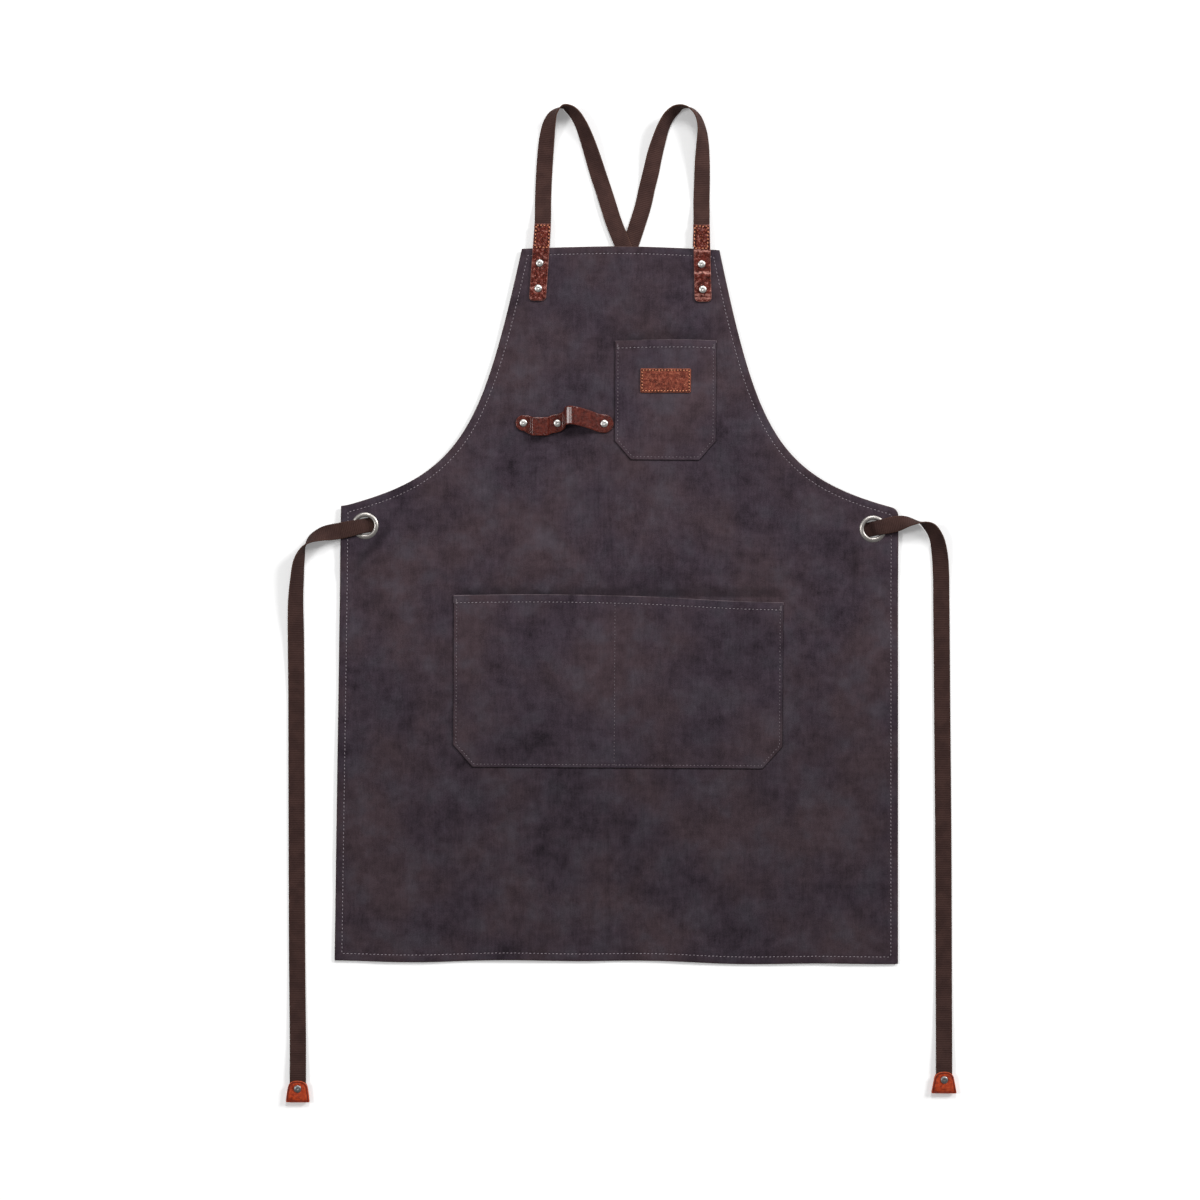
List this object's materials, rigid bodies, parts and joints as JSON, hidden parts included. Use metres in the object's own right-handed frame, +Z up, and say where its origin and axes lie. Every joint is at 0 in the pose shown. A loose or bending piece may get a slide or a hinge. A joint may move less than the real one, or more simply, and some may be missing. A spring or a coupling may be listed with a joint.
{
  "type": "butcher apron",
  "caption": "Bib apron of waxed canvas with crossed webbing straps, leather strap tabs and tool loop, grommets for the waist ties, a chest pocket and a wide divided pocket.",
  "frame": {"origin": "on the table, under the middle of the apron's body (panel and strap tabs)", "axes": "+X to the right across the apron's front, +Y from the hem to the bib, +Z up from the table, out of the apron's front"},
  "size_m": [0.8123, 1.2072, 0.0253],
  "materials": {
    "canvas": "dark aubergine waxed canvas, matt, mottled",
    "webbing": "dark brown cotton webbing, ribbed",
    "strap_leather": "red-brown pebbled leather, satin",
    "patch_leather": "mid-brown suede-faced leather, matt",
    "tip_leather": "tan-orange leather, satin",
    "nickel": "satin nickel plate",
    "thread": "grey and tan sewing thread"
  },
  "bodies": {
    "root": {"main_panel": "canvas", "chest_pocket": "canvas", "kangaroo_pocket": "canvas", "leather_patch": "patch_leather", "left_strap_tab": "strap_leather", "right_strap_tab": "strap_leather", "tool_loop": "strap_leather", "left_tab_rivet_upper": "nickel", "left_tab_rivet_upper_back": "nickel", "left_tab_rivet_lower": "nickel", "left_tab_rivet_lower_back": "nickel", "right_tab_rivet_upper": "nickel", "right_tab_rivet_upper_back": "nickel", "right_tab_rivet_lower": "nickel", "right_tab_rivet_lower_back": "nickel", "loop_rivet_left": "nickel", "loop_rivet_left_back": "nickel", "loop_rivet_middle": "nickel", "loop_rivet_middle_back": "nickel", "loop_rivet_right": "nickel", "loop_rivet_right_back": "nickel", "left_grommet": "nickel", "right_grommet": "nickel", "left_grommet_washer": "nickel", "right_grommet_washer": "nickel", "left_strap_end": "webbing", "right_strap_end": "webbing", "left_back_run": "webbing", "right_back_run": "webbing"},
    "left_shoulder": {"left_shoulder_strap": "webbing"},
    "right_shoulder": {"right_shoulder_strap": "webbing"},
    "left_tie": {"left_waist_tie": "webbing", "left_tie_tip": "tip_leather", "left_tip_rivet": "nickel", "left_tip_rivet_back": "nickel"},
    "right_tie": {"right_waist_tie": "webbing", "right_tie_tip": "tip_leather", "right_tip_rivet": "nickel", "right_tip_rivet_back": "nickel"}
  },
  "joints": [
    {"name": "left_shoulder_lift", "type": "hinge", "parent": "root", "child": "left_shoulder", "pos_m": [-0.051, 0.4492, 0.006], "axis": [1, 0, 0], "range_deg": [0, 90]},
    {"name": "right_shoulder_lift", "type": "hinge", "parent": "root", "child": "right_shoulder", "pos_m": [0.059, 0.4492, 0.006], "axis": [1, 0, 0], "range_deg": [0, 90]},
    {"name": "left_tie_swing", "type": "hinge", "parent": "root", "child": "left_tie", "pos_m": [-0.307, 0.0796, 0.005], "axis": [0, 0, 1], "range_deg": [-50, 3]},
    {"name": "right_tie_swing", "type": "hinge", "parent": "root", "child": "right_tie", "pos_m": [0.307, 0.0796, 0.005], "axis": [0, 0, 1], "range_deg": [-3, 50]}
  ]
}
